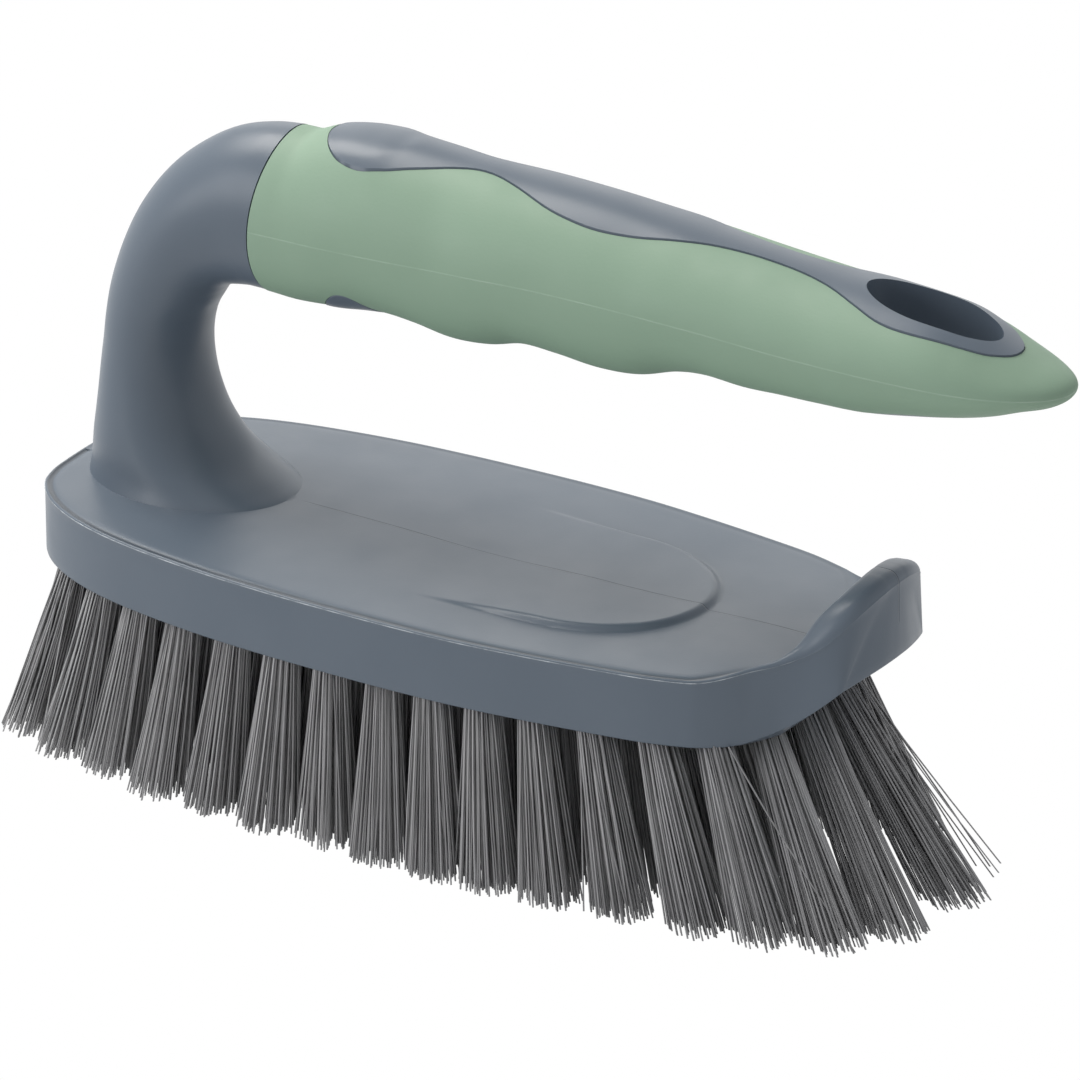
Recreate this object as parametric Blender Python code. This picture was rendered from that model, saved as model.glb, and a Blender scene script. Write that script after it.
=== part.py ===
# Hand scrubbing brush: a moulded block with an upturned nose and a swan neck,
# a two-shot handle plugged into the neck, and tufted filaments in cross rows.
# Metres, +Z up, +X from the neck end of the block to its nose.
# Local x runs from the back of the block, local z from the block's underside.

import bisect
import math

import bmesh
import bpy
from mathutils import Vector

mm = 0.001

# Block
block_length = 139.3 * mm
plan_front_inset = 1.1 * mm
block_half_width = 31.2 * mm
block_thickness = 11.5 * mm
block_crown = 0.5 * mm
edge_fillet = 1.3 * mm
foot_fillet = 0.5 * mm

# Upturned nose, measured beyond the block's length and above its underside
nose_reach = 13.3 * mm
nose_lift = 11.5 * mm
crest_rise = 15.3 * mm
crest_thickness = 3.6 * mm
nose_sweep = 15.0 * mm

# Raised pad on the block's top
pad_back = 68.0 * mm
pad_front_inset = 22.3 * mm
pad_front = block_length - pad_front_inset
pad_half_width = 18.2 * mm
pad_height = 1.2 * mm
pad_slope = 1.0 * mm

# Neck
neck_foot_x = 22.6 * mm
neck_foot_length = 19.0 * mm
neck_foot_half_width = 13.9 * mm
neck_x = 16.2 * mm
neck_half_depth = 8.3 * mm
neck_half_width = 10.0 * mm
collar_x = 39.5 * mm
collar_tilt = math.radians(5.5)
neck_sink = 4.0 * mm

# Handle
grip_axis_z = 63.6 * mm
grip_end_x = 182.0 * mm
core_setback = 8.4 * mm
core_end_x = grip_end_x - core_setback
grip_half_width = 12.6 * mm
grip_half_height = 14.2 * mm
sleeve_wall = 2.2 * mm
spigot_length = 9.0 * mm
spigot_half_width = 4.6 * mm
spigot_half_height = 6.0 * mm
window_start_x = 49.5 * mm
window_setback = 9.5 * mm
window_end_x = grip_end_x - window_setback
window_half_width = 8.2 * mm
hole_setback = 25.0 * mm
hole_x = grip_end_x - hole_setback
hole_half_length = 11.1 * mm
hole_half_width = 5.4 * mm
hole_rim = 2.8 * mm
thumb_window_x = 53.0 * mm
thumb_window_half_length = 5.6 * mm
thumb_window_half_width = 6.0 * mm
thumb_land_rise = 1.6 * mm
thumb_land_half_length = 9.0 * mm

# Tufts
row_count = 15
first_row_x = 6.3 * mm
second_row_x = 12.8 * mm
nose_row_inset = 8.4 * mm
row_pitch = (block_length - nose_row_inset - second_row_x) / (row_count - 2)
tuft_pitch = 9.3 * mm
nose_row_tufts = 5
nose_row_bulge = 3.0 * mm
tuft_edge_inset = 4.8 * mm
bristle_length = 29.5 * mm
strand_width = 1.1 * mm
strand_spread = 1.35 * mm
tuft_fan = row_pitch * 0.35
front_lean = 23.0 * mm
front_lean_side = 12.5 * mm
nose_lean_fade = 8.5 * mm
back_lean = 9.5 * mm
lean_fade = 40.0 * mm
side_lean = 5.5 * mm
slice_thickness = 3.5 * mm
slice_rim = 1.8 * mm

# Fits
seat_gap = 0.3 * mm
overrun = 5.0 * mm

rim_half_count = 40
neck_sides = 32
grip_sides = 28

slate = (0.075, 0.095, 0.125)
slate_light = (0.11, 0.13, 0.16)
sage = (0.27, 0.40, 0.29)
filament = (0.06, 0.058, 0.06)

# Half outline of the block and its nose, from the back centre to the front centre.
# Body rows: share of block_length, share of block_half_width.
body_plan_shares = [
    (0.000, 0.000), (0.003, 0.298), (0.016, 0.449), (0.043, 0.593), (0.085, 0.718),
    (0.139, 0.817), (0.200, 0.885), (0.262, 0.933), (0.385, 0.984), (0.538, 1.000),
    (0.680, 0.974), (0.808, 0.904), (0.880, 0.846), (0.922, 0.792), (0.940, 0.753)]
# Nose rows: reach share of nose_reach, half-width share of block_half_width,
# lift share of nose_lift, for the lower rim, then the same for the crest.
nose_shares = [
    ((-0.323, 0.663, 0.000), (-0.316, 0.660, 0.111)),
    ((-0.173, 0.609, 0.000), (-0.158, 0.603, 0.144)),
    ((0.090, 0.526, 0.174), (0.090, 0.538, 0.209)),
    ((0.353, 0.481, 0.391), (0.316, 0.487, 0.359)),
    ((0.594, 0.449, 0.626), (0.466, 0.458, 0.516)),
    ((0.737, 0.423, 0.783), (0.594, 0.433, 0.634)),
    ((0.767, 0.415, 0.813), (0.744, 0.385, 0.765)),
    ((0.782, 0.407, 0.835), (0.865, 0.311, 0.876)),
    ((0.797, 0.394, 0.852), (0.940, 0.205, 0.941)),
    ((0.835, 0.359, 0.874), (0.970, 0.125, 0.974)),
    ((0.917, 0.253, 0.939), (0.981, 0.074, 0.993)),
    ((0.977, 0.128, 0.983), (0.985, 0.035, 1.000)),
    ((1.000, 0.000, 1.000), (1.000, 0.000, 1.000))]

# Handle stations: share along the grip, half-width share, axis offset share of
# grip_half_height, half-height share. The lower edge swells into finger rests.
grip_shares = [
    (0.000, 0.841, -0.063, 0.998), (0.039, 0.865, -0.070, 1.007), (0.081, 0.897, -0.035, 1.007),
    (0.123, 0.917, 0.039, 1.018), (0.158, 0.937, 0.070, 1.042), (0.196, 0.952, 0.042, 1.046),
    (0.242, 0.960, -0.007, 1.063), (0.288, 0.984, 0.004, 1.039), (0.333, 0.992, 0.049, 0.972),
    (0.382, 0.992, 0.032, 0.972), (0.432, 1.000, -0.004, 0.979), (0.481, 1.004, -0.007, 0.940),
    (0.530, 1.000, 0.046, 0.842), (0.572, 1.000, 0.049, 0.792), (0.621, 1.000, 0.011, 0.782),
    (0.667, 1.000, -0.004, 0.750), (0.712, 0.996, -0.018, 0.725), (0.775, 0.992, -0.018, 0.694),
    (0.846, 0.948, 0.007, 0.599), (0.888, 0.889, -0.007, 0.489), (0.923, 0.790, -0.028, 0.370),
    (0.954, 0.635, -0.028, 0.239), (0.978, 0.437, -0.035, 0.158), (0.993, 0.238, -0.028, 0.092),
    (1.000, 0.111, -0.021, 0.042)]

# Window in the sleeve's top: share along the window, half-width share.
window_shares = [
    (0.000, 0.00), (0.008, 0.40), (0.045, 0.76), (0.080, 0.89), (0.110, 0.86), (0.165, 0.65),
    (0.228, 0.35), (0.262, 0.35), (0.295, 0.51), (0.342, 0.74), (0.383, 0.86), (0.430, 0.89),
    (0.483, 0.80), (0.533, 0.62), (0.584, 0.42), (0.638, 0.34), (0.696, 0.36), (0.744, 0.50),
    (0.799, 0.80), (0.850, 0.97), (0.900, 1.00), (0.950, 0.86), (0.985, 0.50), (1.000, 0.00)]

# Neck stations from the foot up: height share of the grip axis height, centre
# share between neck_x and the foot, half-depth share and half-width share between
# the neck's and the foot's, turn of the section in degrees.
neck_foot_shares = [
    (0.181, 0.969, 1.000, 1.000, 0), (0.223, 0.703, 0.776, 0.795, 2.5), (0.283, 0.281, 0.467, 0.641, 6),
    (0.347, 0.023, 0.248, 0.462, 5.7), (0.417, -0.109, 0.112, 0.282, 3.4), (0.489, -0.156, 0.037, 0.128, 1.4),
    (0.560, -0.125, 0.005, 0.038, -1), (0.629, -0.016, 0.028, 0.000, -1.5)]
# Elbow stations: share from neck_x to collar_x, height share of the grip axis
# height, turn of the section, half-depth share between neck and grip, half-width share.
elbow_shares = [
    (0.052, 0.695, 5.5, 0.119, 0.000), (0.142, 0.775, 22.6, 0.153, 0.000), (0.266, 0.851, 43.6, 0.273, 0.167),
    (0.444, 0.916, 64, 0.503, 0.333), (0.691, 0.965, 79.6, 0.792, 0.583), (0.850, 0.982, 88.5, 0.937, 0.833)]


def spline_row(rows, t):
    # Value of a smooth curve through rows at t, by Hermite pieces on the first column.
    keys = [row[0] for row in rows]
    i = min(max(bisect.bisect_right(keys, t) - 1, 0), len(rows) - 2)

    def slope(k, column):
        a = max(k - 1, 0)
        b = min(k + 1, len(rows) - 1)
        return (rows[b][column] - rows[a][column]) / (keys[b] - keys[a])

    span = keys[i + 1] - keys[i]
    u = min(max((t - keys[i]) / span, 0), 1)
    values = []
    for column in range(1, len(rows[0])):
        p0 = rows[i][column]
        p1 = rows[i + 1][column]
        m0 = slope(i, column) * span
        m1 = slope(i + 1, column) * span
        values.append((2 * u ** 3 - 3 * u ** 2 + 1) * p0 + (u ** 3 - 2 * u ** 2 + u) * m0
                      + (3 * u ** 2 - 2 * u ** 3) * p1 + (u ** 3 - u ** 2) * m1)
    return values


def along_path(points, count):
    # Points evenly spaced along a smooth path through the given points.
    rows = []
    travelled = 0
    for i, point in enumerate(points):
        if i:
            travelled += math.dist(point, points[i - 1])
        rows.append((travelled, *point))
    return [spline_row(rows, travelled * k / (count - 1)) for k in range(count)]


def new_object(name, mesh, collection):
    item = bpy.data.objects.new(name, mesh)
    collection.objects.link(item)
    return item


def loft(name, rings, collection):
    # Closed skin over rings of equal count, flat at both ends.
    mesh = bpy.data.meshes.new(name)
    bm = bmesh.new()
    loops = [[bm.verts.new(point) for point in ring] for ring in rings]
    count = len(loops[0])
    for lower, upper in zip(loops, loops[1:]):
        for i in range(count):
            j = (i + 1) % count
            bm.faces.new((lower[i], lower[j], upper[j], upper[i]))
    bm.faces.new(list(reversed(loops[0])))
    bm.faces.new(loops[-1])
    bmesh.ops.recalc_face_normals(bm, faces=bm.faces)
    bm.to_mesh(mesh)
    bm.free()
    return new_object(name, mesh, collection)


def prism(name, outline, bottom, top, collection):
    return loft(name, [[(x, y, bottom) for x, y in outline], [(x, y, top) for x, y in outline]], collection)


def mirrored(half):
    # Full ring from a half outline that starts and ends on the centre plane.
    return half + [(point[0], -point[1], *point[2:]) for point in reversed(half[1:-1])]


def boolean(item, operation, other):
    modifier = item.modifiers.new(operation.title(), 'BOOLEAN')
    modifier.operation = operation
    modifier.solver = 'EXACT'
    modifier.object = other
    other.hide_render = True
    other.display_type = 'WIRE'


def material(name, colour, roughness):
    surface = bpy.data.materials.new(name)
    surface.use_nodes = True
    shader = surface.node_tree.nodes['Principled BSDF']
    shader.inputs['Base Color'].default_value = (*colour, 1)
    shader.inputs['Roughness'].default_value = roughness
    shader.inputs['Metallic'].default_value = 0
    return surface


def smooth_shade(item, limit=math.radians(35)):
    item.data.shade_smooth()
    item.data.set_sharp_from_angle(angle=limit)


def rim_rails():
    # Lower rim and crest of the block's wall as matching half outlines.
    rails = []
    for x, y in body_plan_shares:
        rails.append((x * block_length, y * block_half_width, 0,
                      x * block_length, y * block_half_width, block_thickness))
    for low, high in nose_shares:
        rails.append((block_length + low[0] * nose_reach, low[1] * block_half_width, low[2] * nose_lift,
                      block_length + high[0] * nose_reach, high[1] * block_half_width,
                      block_thickness + high[2] * crest_rise))
    rails = along_path(rails, rim_half_count + 1)
    return [tuple(row[:3]) for row in rails], [tuple(row[3:]) for row in rails]


def body_half_width(x):
    # Half-width of the block's underside at x, or nothing past its ends.
    rows = [(a * block_length, b * block_half_width) for a, b in body_plan_shares]
    rows.append((block_length * 0.969, block_half_width * 0.665))
    rows.append((block_length, block_half_width / 3))
    if x <= rows[0][0] or x >= rows[-1][0]:
        return 0
    return spline_row(rows, x)[0]


def toward(point, target, distance):
    # The point moved level by a distance toward the target.
    step = Vector((target[0] - point[0], target[1] - point[1]))
    if step.length <= distance or not step.length:
        return target if distance else point
    step = step.normalized() * distance
    return point[0] + step.x, point[1] + step.y


def spine_point(x):
    # Nearest point of the block's middle line, which stops short of both ends.
    reach = block_half_width * 0.85
    return min(max(x, reach), block_length - reach), 0


def block_rings():
    lower, upper = rim_rails()
    rings = []

    def ring(rail, inset, height):
        half = []
        for i, (x, y, z) in enumerate(rail):
            px, py = toward((x, y), spine_point(x), inset(i))
            half.append((px, py, height(i, z)))
        half[0] = (half[0][0], 0, half[0][2])
        half[-1] = (half[-1][0], 0, half[-1][2])
        rings.append(mirrored(half))

    rise = [max(z - block_thickness, 0) for x, y, z in upper]
    sweep = [nose_sweep * min(r / crest_rise, 1) for r in rise]
    # Underside to the foot of the nose, lower rim and wall
    ring(lower, lambda i: foot_fillet + nose_reach * lower[i][2] / nose_lift, lambda i, z: z * 0)
    ring(lower, lambda i: 0, lambda i, z: z + foot_fillet)
    ring(upper, lambda i: 0, lambda i, z: z - edge_fillet)
    # Rounded crest
    ring(upper, lambda i: edge_fillet * 0.3, lambda i, z: z - edge_fillet * 0.3)
    ring(upper, lambda i: edge_fillet, lambda i, z: z)
    lip = [crest_thickness * min(r / edge_fillet, 1) for r in rise]
    ring(upper, lambda i: edge_fillet + lip[i] * 0.6, lambda i, z: z - lip[i] * 0.18)
    # Concave inner sweep down to the flat top
    for share, height_share in ((0.18, 0.62), (0.42, 0.30), (0.70, 0.09), (1.0, 0.0)):
        ring(upper, lambda i: edge_fillet + lip[i] * 0.6 + (sweep[i] + edge_fillet) * share,
             lambda i, z: block_thickness + rise[i] * height_share)
    # Crowned top
    for share in (0.35, 0.75):
        half = []
        last = rings[-1]
        foot = rings[-1] if share == 0.35 else foot
        for x, y, z in foot[:rim_half_count + 1]:
            sx, sy = spine_point(x)
            half.append((x + (sx - x) * share, y * (1 - share), block_thickness + block_crown * share))
        rings.append(mirrored(half))
    return rings


def pad_outline(count=20):
    # Straight sides from the back to a half-elliptic nose.
    nose = pad_half_width * 1.15
    half = [(pad_back, 0), (pad_back, pad_half_width * 0.97)]
    for k in range(count + 1):
        turn = math.pi / 2 * k / count
        half.append((pad_front - nose + nose * math.sin(turn), pad_half_width * math.cos(turn)))
    half[-1] = (half[-1][0], 0)
    return mirrored(half)


def make_pad(collection):
    # The pad's top falls away toward the neck until it meets the block.
    outline = pad_outline()
    bottom = block_thickness - pad_slope
    rings = []
    for inset, drop in ((0, None), (0, pad_slope * 0.5), (pad_slope, 0)):
        ring = []
        for x, y in outline:
            px, py = toward((x, y), (min(x, pad_front - pad_half_width), 0), inset)
            share = (px - pad_back) / (pad_front - pad_back)
            top = block_thickness - block_crown + (2 * block_crown + pad_height) * share
            ring.append((px, py, bottom if drop is None else top - drop))
        rings.append(ring)
    return loft('pad_form', rings, collection)


def neck_rings():
    rings = []

    def section(cx, cz, turn, depth, width):
        # Ellipse in the plane turned from level (0) to square across the grip.
        level = Vector((math.cos(turn), 0, -math.sin(turn)))
        ring = []
        for k in range(neck_sides):
            a = 2 * math.pi * k / neck_sides
            point = Vector((cx, 0, cz)) + level * (depth * math.cos(a))
            ring.append((point.x, width * math.sin(a), point.z))
        rings.append(ring)

    section(neck_foot_x, block_thickness - neck_sink, 0, neck_foot_length, neck_foot_half_width)
    for height, centre, depth, width, turn in neck_foot_shares:
        section(neck_x + (neck_foot_x - neck_x) * centre, grip_axis_z * height, math.radians(turn),
                neck_half_depth + (neck_foot_length - neck_half_depth) * depth,
                neck_half_width + (neck_foot_half_width - neck_half_width) * width)
    start = grip_section(0)
    for reach, height, turn, depth, width in elbow_shares:
        section(neck_x + (collar_x - neck_x) * reach, grip_axis_z * height, math.radians(turn),
                neck_half_depth + (start[2] - neck_half_depth) * depth,
                neck_half_width + (start[0] - neck_half_width) * width)
    section(collar_x, start[1], math.pi / 2 + collar_tilt, start[2] / math.cos(collar_tilt), start[0])
    return rings


def grip_section(share, shrink=0):
    # Half-width, centre height and half-height of the handle.
    width, offset, height = spline_row(grip_shares, share)
    return (max(width * grip_half_width - shrink, strand_width),
            grip_axis_z + offset * grip_half_height,
            max(height * grip_half_height - shrink, strand_width))


def grip_rings(shrink, start_x, end_x, count, rise=0):
    # The rise lifts the top round the thumb's place.
    rings = []
    length = grip_end_x - collar_x
    for k in range(count):
        share = k / (count - 1)
        ease = share + 0.5 * share * (1 - share) * share
        x = start_x + (end_x - start_x) * ease
        width, centre, height = grip_section(min(max((x - collar_x) / length, 0), 1), shrink)
        fade = 1 - share
        ring = []
        for i in range(grip_sides):
            a = 2 * math.pi * i / grip_sides
            z = height * math.sin(a)
            lean = z * math.tan(collar_tilt) * (fade ** 6)
            away = min(abs(x - thumb_window_x) / thumb_land_half_length, 1)
            lift = rise * (1 - away ** 2) ** 2 * max(math.sin(a), 0) ** 2
            ring.append((x + lean, width * math.cos(a), centre + z + lift))
        rings.append(ring)
    return rings


def window_outline(grow, count=46):
    # Plan of the sleeve's top window, grown or shrunk by a clearance.
    length = window_end_x - window_start_x
    points = [(window_start_x + a * length, b * window_half_width) for a, b in window_shares]
    path = along_path(points, count)
    half = []
    for k, (x, y) in enumerate(path):
        before = path[max(k - 1, 0)]
        after = path[min(k + 1, count - 1)]
        way = Vector((after[0] - before[0], after[1] - before[1])).normalized()
        half.append((x - way.y * grow, max(y + way.x * grow, 0)))
    half[0] = (window_start_x - grow, 0)
    half[-1] = (window_end_x + grow, 0)
    return mirrored(half)


def oval(cx, half_length, half_width, count=28):
    return [(cx + half_length * math.cos(2 * math.pi * k / count),
             half_width * math.sin(2 * math.pi * k / count)) for k in range(count)]


def make_body(parts, cutters):
    body = loft('brush_body', block_rings(), parts)
    boolean(body, 'UNION', make_pad(cutters))
    boolean(body, 'UNION', loft('neck_form', neck_rings(), cutters))
    boolean(body, 'DIFFERENCE', make_spigot('socket_cut', seat_gap, cutters))
    recess = prism('recess_cut', inner_outline(slice_rim), -overrun, slice_thickness + seat_gap, cutters)
    boolean(body, 'DIFFERENCE', recess)
    body.data.materials.append(material('slate plastic', slate, 0.42))
    smooth_shade(body)
    return body


def make_spigot(name, clearance, collection):
    # The core's plug, which enters the neck through the collar.
    start = grip_section(0)
    rings = []
    for x in (collar_x - spigot_length - clearance, collar_x + overrun):
        ring = []
        for k in range(neck_sides):
            a = 2 * math.pi * k / neck_sides
            ring.append((x, (spigot_half_width + clearance) * math.cos(a),
                         start[1] + (spigot_half_height + clearance) * math.sin(a)))
        rings.append(ring)
    return loft(name, rings, collection)


def make_core(parts, cutters):
    core = loft('handle_core', grip_rings(sleeve_wall + seat_gap, collar_x + seat_gap, core_end_x, 26), parts)
    land = loft('land_form', grip_rings(0, collar_x + seat_gap, grip_end_x, 34, thumb_land_rise), cutters)
    boolean(land, 'INTERSECT', make_windows('land_plan', -seat_gap, cutters))
    boolean(core, 'UNION', land)
    boolean(core, 'UNION', make_spigot('spigot_form', 0, cutters))
    hole = prism('hang_hole_cut', oval(hole_x, hole_half_length, hole_half_width), grip_axis_z / 2,
                 grip_axis_z * 2, cutters)
    boolean(core, 'DIFFERENCE', hole)
    core.data.materials.append(material('slate plastic core', slate_light, 0.42))
    smooth_shade(core)
    return core


def make_windows(name, grow, collection):
    # Windows through the sleeve: the long one on top, two ovals below.
    windows = prism(name, window_outline(grow), grip_axis_z, grip_axis_z + grip_half_height * 2, collection)
    below = grip_axis_z - grip_half_height * 2
    rim = hole_rim + grow
    lower_oval = prism(name + '_hole', oval(hole_x, hole_half_length + rim, hole_half_width + rim), below,
                       grip_axis_z, collection)
    thumb_oval = prism(name + '_thumb', oval(thumb_window_x, thumb_window_half_length + grow,
                                             thumb_window_half_width + grow), below, grip_axis_z, collection)
    boolean(windows, 'UNION', lower_oval)
    boolean(windows, 'UNION', thumb_oval)
    return windows


def make_sleeve(parts, cutters):
    sleeve = loft('grip_sleeve', grip_rings(0, collar_x + seat_gap, grip_end_x, 34), parts)
    hollow = loft('sleeve_hollow', grip_rings(sleeve_wall, collar_x - overrun, core_end_x + seat_gap, 30),
                  cutters)
    boolean(sleeve, 'DIFFERENCE', hollow)
    boolean(sleeve, 'DIFFERENCE', make_windows('window_cut', 0, cutters))
    sleeve.data.materials.append(material('sage rubber', sage, 0.75))
    smooth_shade(sleeve)
    return sleeve


def inner_outline(inset, count=31):
    # Plan of the underside inside its rim.
    plan = [(x * block_length, y * block_half_width) for x, y in body_plan_shares]
    plan += [(0.969 * block_length, 0.665 * block_half_width),
             (block_length - plan_front_inset, block_half_width / 3), (block_length, 0)]
    path = along_path(plan, count)
    half = []
    for k, (x, y) in enumerate(path):
        before = path[max(k - 1, 0)]
        after = path[min(k + 1, count - 1)]
        way = Vector((after[0] - before[0], after[1] - before[1])).normalized()
        half.append((x + way.y * inset, max(y - way.x * inset, 0)))
    half[0] = (inset, 0)
    half[-1] = (block_length - inset, 0)
    return mirrored(half)


def tuft_rows():
    # Tuft centres, row by row from the back.
    rows = []
    for k in range(row_count):
        x = second_row_x + row_pitch * (k - 1) if k else first_row_x
        beside = strand_spread + strand_width
        reach = min(body_half_width(x - beside), body_half_width(x + beside)) - tuft_edge_inset
        count = round(2 * reach / tuft_pitch) + 1 if k < row_count - 1 else nose_row_tufts
        bulge = nose_row_bulge if k == row_count - 1 else 0
        sides = [2 * i / (count - 1) - 1 for i in range(count)]
        rows.append([(x + bulge * (1 - side ** 2), reach * side) for side in sides])
    return rows


def tuft_lean(x, y):
    # How far a tuft's tips stand out from its root.
    last_x = block_length - nose_row_inset
    forward = front_lean_side * math.exp((x - last_x) / lean_fade)
    backward = back_lean * math.exp((first_row_x - x) / lean_fade)
    # The nose's tufts reach further out the nearer they are to the middle line.
    middle = 1 - min(abs(y) / (block_half_width * 0.55), 1) ** 2
    extra = (front_lean - front_lean_side) * middle * math.exp((x - last_x) / nose_lean_fade)
    return forward + extra - backward, side_lean * (y / block_half_width)


def make_strands(name, centres, collection):
    # Each tuft is four splayed strands round an upright one, cut flat at one level.
    mesh = bpy.data.meshes.new(name)
    bm = bmesh.new()
    half = strand_width / 2
    for cx, cy in centres:
        lean_x, lean_y = tuft_lean(cx, cy)
        for sx, sy in ((-1, -1), (-1, 1), (0, 0), (1, -1), (1, 1)):
            root = Vector((cx + sx * strand_spread, cy + sy * strand_spread, strand_width / 2))
            tip = Vector((cx + lean_x + sx * tuft_fan, cy + lean_y + sy * tuft_fan, -bristle_length))
            strand = bmesh.ops.create_cube(bm, size=1)['verts']
            for vert in strand:
                end = tip if vert.co.z < 0 else root
                vert.co = Vector((end.x + vert.co.x * 2 * half, end.y + vert.co.y * 2 * half, end.z))
    bm.to_mesh(mesh)
    bm.free()
    return new_object(name, mesh, collection)


def make_tuft_row(index, rows, parts, cutters, surface):
    # A row's slice ends half-way to its neighbours.
    name = f'tuft_row_{index + 1:02d}'
    centres = rows[index]
    x = centres[0][0]
    start = (rows[index - 1][0][0] + x + seat_gap) / 2 if index else -overrun
    end = (x + rows[index + 1][0][0] - seat_gap) / 2 if index < row_count - 1 else block_length
    band = [(start, -block_half_width), (end, -block_half_width), (end, block_half_width),
            (start, block_half_width)]
    row = prism(name, inner_outline(slice_rim + seat_gap), 0, slice_thickness, parts)
    boolean(row, 'INTERSECT', prism(name + '_band', band, -overrun, slice_thickness + overrun, cutters))
    boolean(row, 'UNION', make_strands(name + '_strands', centres, cutters))
    row.data.materials.append(surface)
    return row


def clear_scene():
    for item in list(bpy.data.objects):
        bpy.data.objects.remove(item, do_unlink=True)


def stand_on_tips(parts):
    # The middle of the brush's outline goes over the origin, tips on the ground.
    bpy.context.view_layer.update()
    corners = [item.matrix_world @ Vector(corner)
               for item in parts.objects for corner in item.bound_box]
    frame = bpy.data.objects.new('brush_frame', None)
    parts.objects.link(frame)
    frame.location = (-(min(c.x for c in corners) + max(c.x for c in corners)) / 2, 0, bristle_length)
    for item in list(parts.objects):
        if item is not frame:
            item.parent = frame
    return frame


def main():
    clear_scene()
    parts = bpy.data.collections.new('Scrubbing brush')
    cutters = bpy.data.collections.new('Cutters')
    bpy.context.scene.collection.children.link(parts)
    bpy.context.scene.collection.children.link(cutters)
    make_body(parts, cutters)
    make_core(parts, cutters)
    make_sleeve(parts, cutters)
    bristle = material('grey filament', filament, 0.55)
    rows = tuft_rows()
    for index in range(row_count):
        make_tuft_row(index, rows, parts, cutters, bristle)
    frame = stand_on_tips(parts)
    for item in cutters.objects:
        item.parent = frame
    bpy.context.view_layer.update()


main()
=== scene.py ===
import functools
import math
import random

import bmesh
import bpy
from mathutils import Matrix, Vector, kdtree


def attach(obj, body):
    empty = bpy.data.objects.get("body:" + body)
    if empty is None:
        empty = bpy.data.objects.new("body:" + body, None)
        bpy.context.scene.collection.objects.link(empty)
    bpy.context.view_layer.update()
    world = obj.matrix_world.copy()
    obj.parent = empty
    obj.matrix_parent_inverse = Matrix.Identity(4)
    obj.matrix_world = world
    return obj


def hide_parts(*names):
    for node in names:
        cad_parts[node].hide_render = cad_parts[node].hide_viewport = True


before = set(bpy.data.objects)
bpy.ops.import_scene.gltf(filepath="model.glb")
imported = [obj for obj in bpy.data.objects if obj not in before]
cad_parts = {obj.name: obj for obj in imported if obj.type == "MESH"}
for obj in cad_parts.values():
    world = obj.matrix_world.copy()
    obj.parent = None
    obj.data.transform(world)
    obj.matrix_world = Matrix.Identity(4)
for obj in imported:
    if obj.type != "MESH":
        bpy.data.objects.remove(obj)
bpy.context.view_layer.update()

# Lengths are in millimetres from the back of the block and its underside, and place() turns
# them into the frame's metres. Materials work in metres.
blockBack = -0.087813
blockFoot = 0.0295


def place(x, y, z):
    return Vector((x / 1000 + blockBack, y / 1000, z / 1000 + blockFoot))


# Curves and meshes

def eased(share):
    # 0 to 1 with a soft start and end
    share = min(max(share, 0), 1)
    return share * share * (3 - 2 * share)


def follow(keys, t):
    # smooth curve through rows of numbers, t runs from 0 to 1 over the rows' own spacing
    last = len(keys) - 1
    i = min(int(t * last), last - 1)
    u = t * last - i
    a, b, c, d = keys[max(i - 1, 0)], keys[i], keys[i + 1], keys[min(i + 2, last)]
    return [0.5 * (2 * q + (r - p) * u + (2 * p - 5 * q + 4 * r - s) * u * u
                   + (3 * q - p - 3 * r + s) * u ** 3)
            for p, q, r, s in zip(a, b, c, d)]


def atX(keys, x):
    # the row of a table at x, its first column
    for i in range(len(keys) - 1):
        if x <= keys[i + 1][0] or i == len(keys) - 2:
            u = (x - keys[i][0]) / (keys[i + 1][0] - keys[i][0])
            return follow(keys, min(max((i + u) / (len(keys) - 1), 0), 1))[1:]


def evenly(keys, count, columns):
    # the same curve at even steps of its length, which the first columns give
    steps = 3000
    fine = [follow(keys, k / steps) for k in range(steps + 1)]
    run = [0]
    for p, q in zip(fine, fine[1:]):
        run.append(run[-1] + math.dist(p[:columns], q[:columns]))
    out, j = [], 0
    for k in range(count):
        want = run[-1] * k / (count - 1)
        while j < steps - 1 and run[j + 1] < want:
            j += 1
        u = (want - run[j]) / max(run[j + 1] - run[j], 1e-9)
        out.append([p + (q - p) * u for p, q in zip(fine[j], fine[j + 1])])
    return out


def skin(pointAt, around, along, markAt=None):
    # a sheet of vertices laid on a surface, its long edges joined and its ends closed
    bm = bmesh.new()
    bmesh.ops.create_grid(bm, x_segments=around, y_segments=along, size=1)
    marks = bm.verts.layers.float.new("edge") if markAt else None
    for vert in bm.verts:
        u, v = (vert.co.x + 1) / 2, (vert.co.y + 1) / 2
        vert.co = pointAt(u, v)
        if markAt:
            vert[marks] = markAt(u, v)
    bmesh.ops.remove_doubles(bm, verts=bm.verts, dist=2e-7)
    rim = [edge for edge in bm.edges if edge.is_boundary]
    if rim:
        bmesh.ops.holes_fill(bm, edges=rim, sides=0)
    bmesh.ops.dissolve_degenerate(bm, edges=bm.edges, dist=1e-7)
    bmesh.ops.recalc_face_normals(bm, faces=bm.faces)
    return bm


def keep(bm, name):
    mesh = bpy.data.meshes.new(name)
    bm.to_mesh(mesh)
    bm.free()
    piece = bpy.data.objects.new(name, mesh)
    bpy.context.scene.collection.objects.link(piece)
    return piece


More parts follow.
